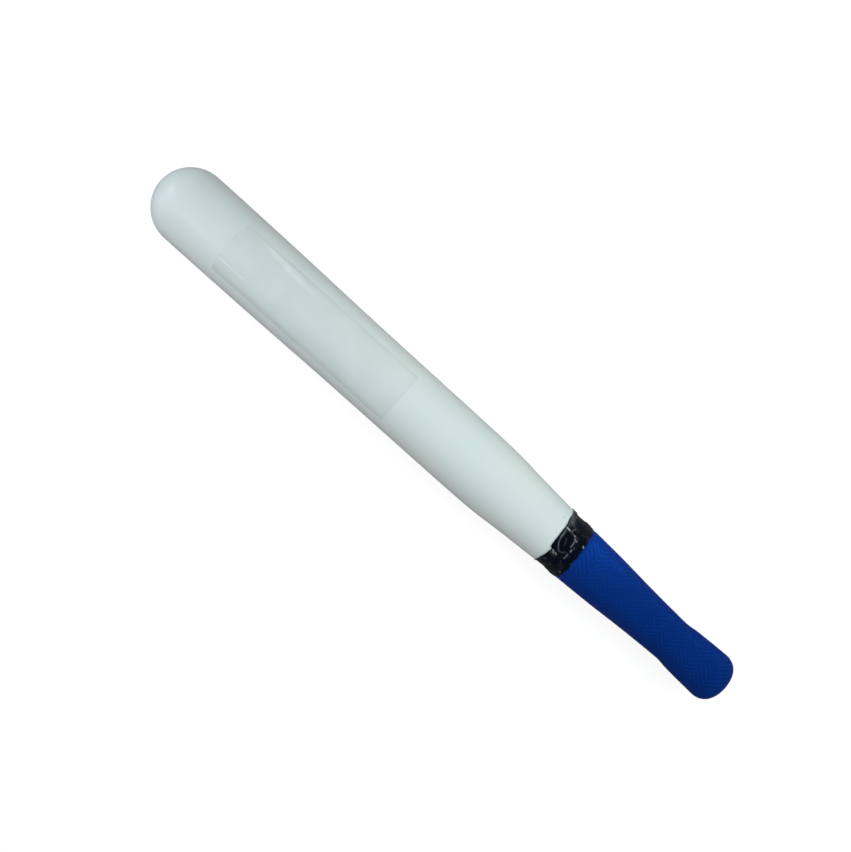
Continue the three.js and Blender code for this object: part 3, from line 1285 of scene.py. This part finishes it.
@dataclass
class BindingTape:
    """The black tape: one strip wound twice round the joint of sleeve and wood, and a little more.

    The strip is followed from its free end, the tail, inwards, and places along it are turns. The
    lowest turn lies a lift above the bat, and each turn on top of it a layer higher. The turn
    under the tail lies level, and the outer one stands higher by the drift, which first eases and
    then ends. The rises of the foot, which is the lower edge, are in mm by degrees up to the seam,
    and those of the top are in mm by turns. Both edges are ragged, by an amount in mm, a pace and
    a seed. Marks on the tape are placed by height and by distance round, at the mark radius.
    """

    axis: BatAxis
    body: TurnedBody
    width: float = 16 * MM
    thickness: float = 0.15 * MM
    layer: float = 0.17 * MM
    lift: float = 0.13 * MM
    foot: float = 119.8 * MM
    foot_rises: Shares = (
        (-110, -0.6), (-70, -0.8), (-48, -0.5), (-31, 0.0), (-20, 0.8), (0, 1.3), (24, 1.6),
        (50, 1.9), (100, 1.9), (180, 1.0), (250, -0.6),
    )
    top_rises: Shares = (
        (0.0, -1.5), (0.017, -0.9), (0.05, -0.3), (0.14, 0.0), (0.18, 0.4), (0.31, 0.4),
        (0.7, -0.9), (0.82, -0.7), (0.87, 0.1), (0.908, 0.25), (0.944, -0.25), (0.972, -1.0),
        (1.16, -1.3), (1.4, 0.0), (2.2, 0.0),
    )
    drift: float = 2.6 * MM
    least_drift: float = 0.5 * MM
    drift_shares: tuple[float, float] = (0.35, 0.8)
    drift_end: tuple[float, float] = (1.14, 1.0)
    overlap_turns: float = 0.154
    tail_angle: float = math.radians(-20.0)
    step_length: float = 1.2 * MM
    seam: float = math.radians(110.0)
    edge_waves: tuple[tuple[float, float, int], ...] = ((0.16, 1.9, 3), (0.12, 1.7, 8))
    climb: tuple[float, float] = (0.4 * MM, 0.8 * MM)
    bridge: float = 1.5 * MM
    mark_radius: float = 19.9 * MM
    blister: tuple[float, float] = (132.6 * MM, 1.5 * MM)
    blister_size: tuple[float, float] = (5.4 * MM, 7.4 * MM)
    blister_rise: float = 0.1 * MM
    blister_edge: tuple[float, float] = (1.05, 0.6)
    folds: Waves = Waves(9.0 * MM, 3.2 * MM, 11, 0.035 * MM)
    fine: Waves = Waves(3.4 * MM, 2.1 * MM, 5, 0.02 * MM)
    pinches: Waves = Waves(4.0 * MM, 1.0, 2)
    pinch_height: float = 128.4 * MM
    pinch_reach: float = 0.6 * MM
    pinch_rise: float = 0.06 * MM
    breaks: Waves = Waves(0.9 * MM, 0.8 * MM, 17, 0.45)
    outer_columns: int = 640
    fine_end: float = 0.03
    under_columns: int = 110
    rows: int = 60

    def bearing(self, height: np.ndarray) -> np.ndarray:
        """Radius of what the tape lies on: the sleeve's plain band, the seat, then the neck.

        The tape bridges the sleeve's edge and climbs out of the seat by eased steps.

        Args:
            height: Heights from the butt.

        Returns:
            The radii.
        """
        body, sleeve = self.body, self.body.sleeve
        band = sleeve.radius(np.minimum(height, sleeve.length)) - sleeve.band_depth
        neck = body.radius(np.maximum(height, sleeve.length))
        shoulder = sleeve.length + sleeve.fit
        seat_end = shoulder + body.seat_length
        climbed = smoothstep(seat_end - self.climb[0], seat_end + self.climb[1], height)
        seat = neck - body.seat_depth * (1.0 - climbed)
        share = smoothstep(shoulder, shoulder + self.bridge, height)
        return band + (seat - band) * share

    def wrinkles(self, height: np.ndarray, along: np.ndarray) -> tuple[np.ndarray, np.ndarray]:
        """Height of the wrinkles over the smooth tape, the same for every turn.

        They are a blister beside the tail, its creases, a row of pinches along the sleeve's
        edge, and soft irregular waves. The blister is level inside an ellipse and falls by an
        eased step, and the row of pinches is a bell curve.

        Args:
            height: Heights from the butt.
            along: Distances round from the top.

        Returns:
            Heights of the wrinkles, and how pale the folds are, partly from painted highlight.
        """
        from_middle = np.hypot(
            (height - self.blister[0]) / self.blister_size[0],
            (along - self.blister[1]) / self.blister_size[1],
        )
        rise = self.blister_rise * smoothstep(*self.blister_edge, from_middle)
        row = hill(height, self.pinch_height, self.pinch_reach)
        rise = rise + self.pinch_rise * row * (0.5 + 0.5 * self.pinches.at(height, along))
        rise = rise + self.folds.at(height, along) + self.fine.at(height, along)
        whitened = np.zeros_like(rise)
        for crease in CREASES:
            near = crease.nearness(height, along)
            rise = rise + crease.rise * MM * near
            whitened = np.maximum(whitened, crease.whitened * near)
        broken = np.clip(0.75 + self.breaks.at(height, along), 0.25, 1.0)
        return rise, whitened * broken

    def edges(self, turns: np.ndarray, angle: np.ndarray) -> tuple[np.ndarray, np.ndarray]:
        """Heights of the strip's lower and upper edge: smooth rises, the drift and raggedness.

        Args:
            turns: Turns from the tail.
            angle: Angles round the bat.

        Returns:
            Heights of the lower edge and of the upper one.
        """
        drift = self.drift + (self.least_drift - self.drift) * smoothstep(*self.drift_shares, turns)
        drift = drift * smoothstep(*self.drift_end, turns)
        way = np.degrees(np.remainder(angle + self.seam, math.tau) - self.seam)
        foot_rise = curve_through(list(self.foot_rises), way)
        top_rise = curve_through(list(self.top_rises), turns)
        foot_ragged, top_ragged = (
            amount * soft_noise(angle * pace, np.full_like(angle, float(line)), seed)
            for line, (amount, pace, seed) in enumerate(self.edge_waves)
        )
        foot = self.foot + drift + MM * (foot_ragged + foot_rise)
        return foot, self.foot + self.width + drift + MM * (top_ragged + top_rise)

    def build(self) -> bpy.types.Object:
        """Winds the strip: each point lies on the turns under it, which the overlap raises.

        Returns:
            The tape.
        """
        covered = 1.0 + self.overlap_turns
        outer_end = covered + self.fine_end
        outer_turn = np.linspace(0.0, outer_end, self.outer_columns)
        rest = np.linspace(outer_end, 2.0 + self.overlap_turns, self.under_columns)[1:]
        turns = np.concatenate([outer_turn, rest])[None, :]
        angle = self.tail_angle + turns * math.tau
        step = self.step_length / (math.tau * self.body.neck_radius)
        under = smoothstep(covered + step, covered, turns)
        under = under + smoothstep(self.overlap_turns + step, self.overlap_turns, turns)
        foot, top = self.edges(turns, angle)
        height = foot + (top - foot) * np.linspace(0.0, 1.0, self.rows)[:, None]
        along = (np.remainder(angle + math.pi, math.tau) - math.pi) * self.mark_radius
        rise, whitened = self.wrinkles(height, along)
        radius = self.bearing(height) + self.lift + under * self.layer + rise
        outer = self.axis.points(height, radius + self.thickness, angle)
        inner = self.axis.points(height, radius, angle)
        piece = wall_object("wound_tape", outer, inner, False)
        around = both_skins(np.broadcast_to(angle * self.mark_radius, height.shape))
        write_surface_data(piece, around, both_skins(height), whitened=both_skins(whitened))
        return piece

    def dress(self, piece: bpy.types.Object) -> None:
        """Dresses the tape in black plastic."""
        Fitting("binding_tape", "tape_plastic").place(piece, TapeFinish().material())


@dataclass
class LabelFilm:
    """The clear label film, bent round the barrel, with slightly rounded corners.

    Its depth counts from the tip to its upper end. The rims are how far the painted shade reaches
    in from the long edge at -Y and from the other one, which has only a share of it.
    """

    axis: BatAxis
    body: TurnedBody
    length: float = 136 * MM
    width: float = 37 * MM
    depth: float = 62 * MM
    thickness: float = 0.1 * MM
    lift: float = 0.2 * MM
    turn: float = math.radians(-5.2)
    corner: float = 1.6 * MM
    low_rim: float = 3.2 * MM
    high_rim: float = 1.6 * MM
    high_share: float = 0.3
    rows: int = 120
    columns: int = 96

    def build(self) -> bpy.types.Object:
        """Bends the patch round the barrel; near its ends, its width follows a quarter circle.

        Its long edges get a painted shade, by a bell curve of the distance to the edge.

        Returns:
            The film.
        """
        top = self.body.length - self.depth
        ease = 0.5 - 0.5 * np.cos(np.linspace(0.0, math.pi, self.rows))
        height = (top - self.length + self.length * ease)[:, None]
        to_end = np.minimum(height - height[0], height[-1] - height)
        inset = np.clip(1.0 - to_end / self.corner, 0.0, 1.0)
        half = self.width / 2 - self.corner * (1.0 - np.sqrt(1.0 - inset**2))
        across = np.linspace(-1.0, 1.0, self.columns)[None, :]
        radius = self.body.radius(height)
        angle = self.turn + half * across / radius
        inner = self.axis.points(height, radius + self.lift, angle)
        outer = self.axis.points(height, radius + self.lift + self.thickness, angle)
        piece = wall_object("label_patch", outer, inner, False)
        low = hill((1.0 + across) * half, 0.0, self.low_rim)
        high = hill((1.0 - across) * half, 0.0, self.high_rim)
        grimy = both_skins(np.maximum(low, self.high_share * high))
        write_surface_data(piece, both_skins(angle * radius), both_skins(height), grimy=grimy)
        return piece

    def dress(self, piece: bpy.types.Object) -> None:
        """Dresses the patch in clear film."""
        Fitting("label_film", "clear_film").place(piece, FilmFinish().material())


DAYLIGHT, COOL = (0.96, 1.0, 1.0), (0.93, 1.0, 0.99)
WINDOW, BLUE = (0.89, 0.89, 1.0), (0.64, 0.79, 1.0)


@dataclass(frozen=True)
class Lamp:
    """A rectangular lamp aimed at a point on the bat.

    Attributes:
        name: Name of the lamp.
        place: Where it stands.
        aim: The point that it faces.
        size: Width along the bat and height across it.
        radiance: Brightness of its face, where 1 is a white wall.
        colour: Tint, as shares.
        spread: Angle of its beam, in degrees.
        mirrored: Whether glossy and clear surfaces show it.
    """

    name: str
    place: tuple[float, float, float]
    aim: tuple[float, float, float]
    size: tuple[float, float]
    radiance: float
    colour: tuple[float, float, float] = DAYLIGHT
    spread: float = 180.0
    mirrored: bool = True

    def build(self) -> None:
        """Adds the lamp: a rectangle radiates its area times pi for each unit of brightness."""
        data = bpy.data.lights.new(self.name, "AREA")
        data.shape = "RECTANGLE"
        data.size, data.size_y = self.size
        data.energy = self.radiance * math.pi * self.size[0] * self.size[1]
        data.color = self.colour
        data.spread = math.radians(self.spread)
        lamp = bpy.data.objects.new(self.name, data)
        bpy.context.scene.collection.objects.link(lamp)
        back = (Vector(self.place) - Vector(self.aim)).normalized()
        along = Vector((1.0, 0.0, 0.0))
        along = (along - along.dot(back) * back).normalized()
        turned = Matrix((along, back.cross(along), back)).transposed()
        lamp.matrix_world = Matrix.Translation(self.place) @ turned.to_4x4()
        lamp.visible_camera = False
        lamp.visible_glossy = lamp.visible_transmission = self.mirrored
        LOG.info("lamp %s", self.name)


@dataclass(frozen=True)
class Glint:
    """A small lamp that the camera sees mirrored at one spot of the bat.

    Attributes:
        name: Name of the lamp.
        height: Height of the spot from the butt, in mm.
        angle: Angle of the spot, in degrees.
        radius: The bat's radius there, in mm.
        size: Width along the bat and height across it.
        radiance: Brightness of its face, where 1 is a white wall.
        colour: Tint, as shares.
        slope: How much the surface leans towards the tip, in degrees.
        reach: Distance from the spot to the lamp.
    """

    name: str
    height: float
    angle: float
    radius: float
    size: tuple[float, float]
    radiance: float
    colour: tuple[float, float, float] = DAYLIGHT
    slope: float = 0.0
    reach: float = 0.95

    def build(self, axis: BatAxis, eye: np.ndarray) -> None:
        """Places the lamp where the ray from the camera goes on after the spot mirrors it.

        Args:
            axis: The bat's axis.
            eye: Where the camera stands.
        """
        angle = np.array(math.radians(self.angle))
        height, radius = np.array(self.height * MM), np.array(self.radius * MM)
        spot = axis.points(height, radius, angle)
        out = (spot - axis.points(height, np.array(0.0), angle)) / radius
        lean = math.radians(self.slope)
        normal = math.cos(lean) * out + math.sin(lean) * axis.towards_tip
        view = (eye - spot) / np.linalg.norm(eye - spot)
        mirrored = 2.0 * np.dot(view, normal) * normal - view
        place = spot + self.reach * mirrored
        Lamp(self.name, tuple(place), tuple(spot), self.size, self.radiance, self.colour).build()


LAMPS = (
    Lamp("key", (0.24, 0.31, 0.46), (0.11, 0.0, 0.02), (0.6, 0.55), 0.54, COOL, 66.0, False),
    Lamp(
        "fill", (-0.52, -0.175, 0.37), (-0.20, 0.0, 0.03), (0.3, 0.3), 1.20, WINDOW, 110.0, False
    ),
)
GLINTS = (
    Glint("film_upper_1", 370.0, 31.6, 24.2, (0.09, 0.045), 2.8, slope=-0.76),
    Glint("film_upper_2", 361.5, 27.6, 24.2, (0.09, 0.05), 3.4, slope=-0.76),
    Glint("film_upper_3", 352.0, 24.2, 24.2, (0.06, 0.045), 3.2, slope=-0.76),
    Glint("film_lower", 390.0, -26.2, 24.6, (0.08, 0.045), 3.0, slope=-0.38),
    Glint("neck_streak", 176.0, 30.5, 22.0, (0.22, 0.07), 3.0),
    Glint("dome_window", 444.5, 0.0, 23.4, (0.30, 0.26), 4.0, BLUE, 22.5),
    Glint("dome_window_low", 443.0, -25.0, 20.0, (0.34, 0.14), 3.4, BLUE, 24.0),
    Glint("tip_band", 425.0, -15.2, 25.0, (0.14, 0.26), 2.2, BLUE),
    Glint("tape_bar", 136.2, 23.7, 19.9, (0.05, 0.012), 14.0),
    Glint("grip_sheen", 110.0, 38.0, 17.6, (0.05, 0.13), 12.0, slope=-2.0),
)


@dataclass
class Studio:
    """Floor, surroundings, lamps and camera.

    The camera sees floor and world white: a shadow takes away only the floor's shadow share, and
    the rest glows. The bat is lit by a floor colour, a sky and a horizon, and gloss mirrors darker
    ones. The floor that gloss sees is a painted grey in place of its light and shade, lighter
    towards +Y. The fades go by place across the bat for the floor, and for the world by how far a
    direction points up, or to +Y for the far dimness and the mirrored horizon. The camera stands
    a distance above the foot, which is a height on the bat, and the lengths of its picture are
    in pixels.
    """

    axis: BatAxis
    floor_size: float = 6.0
    floor_colour: Colour = (180, 156, 144)
    shadow_share: float = 0.24
    glow: float = 0.856
    mirrored_floor: Fade = Fade(-0.06, 0.06, 0.2, 0.36)
    mirrored_glow: float = 0.03
    sky: Linear = (0.49, 0.505, 0.505, 1.0)
    horizon: Linear = (0.50, 0.465, 0.44, 1.0)
    rising: Fade = Fade(0.0, 0.9)
    far_dimness: Fade = Fade(0.1, 0.9, 0.0, 0.6)
    mirrored_horizon: Fade = Fade(-0.6, 0.6, 0.08, 0.55)
    mirrored_rise: Fade = Fade(0.0, 0.35)
    ceiling: Linear = (0.12, 0.12, 0.126, 1.0)
    distance: float = 0.590
    foot: float = 240.2 * MM
    aside: float = -3.2 * MM
    roll: float = math.radians(42.02)
    focal_pixels: float = 962.0
    picture_pixels: float = 852.0

    @staticmethod
    def rays(wiring: Wiring) -> tuple[bpy.types.NodeSocket, bpy.types.NodeSocket]:
        """Tells apart the rays that the surroundings answer in their own ways.

        Args:
            wiring: Where the nodes go.

        Returns:
            1 for the camera's own rays and those that it sends through the film, and 1 for rays
            that gloss sends out.
        """
        path = wiring.add("ShaderNodeLightPath").outputs
        seen = wiring.math("MAXIMUM", path["Is Camera Ray"], path["Is Transmission Ray"])
        return seen, path["Is Glossy Ray"]

    def floor(self) -> None:
        """Makes the floor: a plain pale sheet that the camera sees as white with soft shadows."""
        half = self.floor_size / 2
        square = np.array([(-half, -half, 0), (half, -half, 0), (half, half, 0), (-half, half, 0)])
        sheet = object_from_arrays("floor", square, [np.array([[0, 1, 2, 3]])])
        material, wiring, shader = new_material("floor_paper")
        seen, mirrored = self.rays(wiring)
        colour = wiring.blend(seen, linear(self.floor_colour), grey(self.shadow_share))
        # Painted light and shade: the floor that gloss sees is grey, lighter towards +Y where more
        # light falls.
        across = wiring.parts(wiring.coordinates())["Y"]
        level = wiring.blend(wiring.remap(across, self.mirrored_floor), grey(0.0), grey(1.0))
        glow = wiring.math("MULTIPLY", seen, self.glow)
        glow = wiring.math("ADD", glow, wiring.math("MULTIPLY", mirrored, self.mirrored_glow))
        wiring.fill(shader, Base_Color=wiring.blend(mirrored, colour, level))
        wiring.fill(shader, Roughness=1.0, Specular_IOR_Level=0.0)
        wiring.fill(shader, Emission_Color=grey(1.0), Emission_Strength=glow)
        sheet.data.materials.append(material)

    def surroundings(self) -> None:
        """Makes the world: white to the camera, and soft light that is cooler from above."""
        world = bpy.data.worlds.new("studio")
        bpy.context.scene.world = world
        world.use_nodes = True
        wiring = Wiring(world.node_tree)
        seen, mirrored = self.rays(wiring)
        towards = wiring.parts(wiring.add("ShaderNodeTexCoord").outputs["Generated"])
        light = wiring.blend(wiring.remap(towards["Z"], self.rising), self.horizon, self.sky)
        light = wiring.blend(wiring.remap(towards["Y"], self.far_dimness), light, grey(0.0))
        level = wiring.remap(towards["Y"], self.mirrored_horizon)
        level = wiring.blend(level, grey(0.0), grey(1.0))
        level = wiring.blend(wiring.remap(towards["Z"], self.mirrored_rise), level, self.ceiling)
        colour = wiring.blend(mirrored, light, level)
        colour = wiring.blend(seen, colour, grey(1.0))
        background = wiring.add("ShaderNodeBackground")
        wiring.fill(background, Color=colour, Strength=1.0)
        output = wiring.add("ShaderNodeOutputWorld")
        wiring.fill(output, Surface=background.outputs["Background"])

    def eye(self) -> np.ndarray:
        """Where the camera stands: straight above the bat's axis, and a little to one side."""
        foot = self.axis.butt + self.foot * self.axis.towards_tip
        return foot + self.distance * self.axis.up + self.aside * np.array([0.0, 1.0, 0.0])

    def camera(self) -> None:
        """Adds the camera, square to the bat's axis, with the picture rolled round its middle."""
        data = bpy.data.cameras.new("camera")
        data.sensor_width = 36.0
        data.lens = data.sensor_width * self.focal_pixels / self.picture_pixels
        camera = bpy.data.objects.new("camera", data)
        bpy.context.scene.collection.objects.link(camera)
        across = np.array([0.0, 1.0, 0.0])
        towards_butt = -self.axis.towards_tip
        right = math.cos(self.roll) * towards_butt + math.sin(self.roll) * across
        above = -math.sin(self.roll) * towards_butt + math.cos(self.roll) * across
        turned = Matrix((Vector(right), Vector(above), Vector(self.axis.up))).transposed()
        camera.matrix_world = Matrix.Translation(Vector(self.eye())) @ turned.to_4x4()
        bpy.context.scene.camera = camera

    def build(self) -> None:
        """Builds everything around the bat: soft lamps that no gloss shows, and glints."""
        self.floor()
        self.surroundings()
        for lamp in LAMPS:
            lamp.build()
        for glint in GLINTS:
            glint.build(self.axis, self.eye())
        self.camera()
        bpy.context.scene.view_settings.view_transform = "Standard"


def corners(box: tuple[Vector, Vector]) -> list[list[float]]:
    """Lowest and highest corner of a box as plain lists."""
    return [list(corner) for corner in box]


def main() -> None:
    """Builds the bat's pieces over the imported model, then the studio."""
    logging.basicConfig(level=logging.INFO, format="%(name)s: %(message)s")
    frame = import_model()
    axis = BatAxis.from_record(frame["record"])
    sleeve = GripSleeve(axis)
    body = TurnedBody(axis, sleeve)
    for part in (body, sleeve, BindingTape(axis, body), LabelFilm(axis, body)):
        part.dress(part.build())
    Studio(axis).build()


if __name__ == "__main__":
    main()
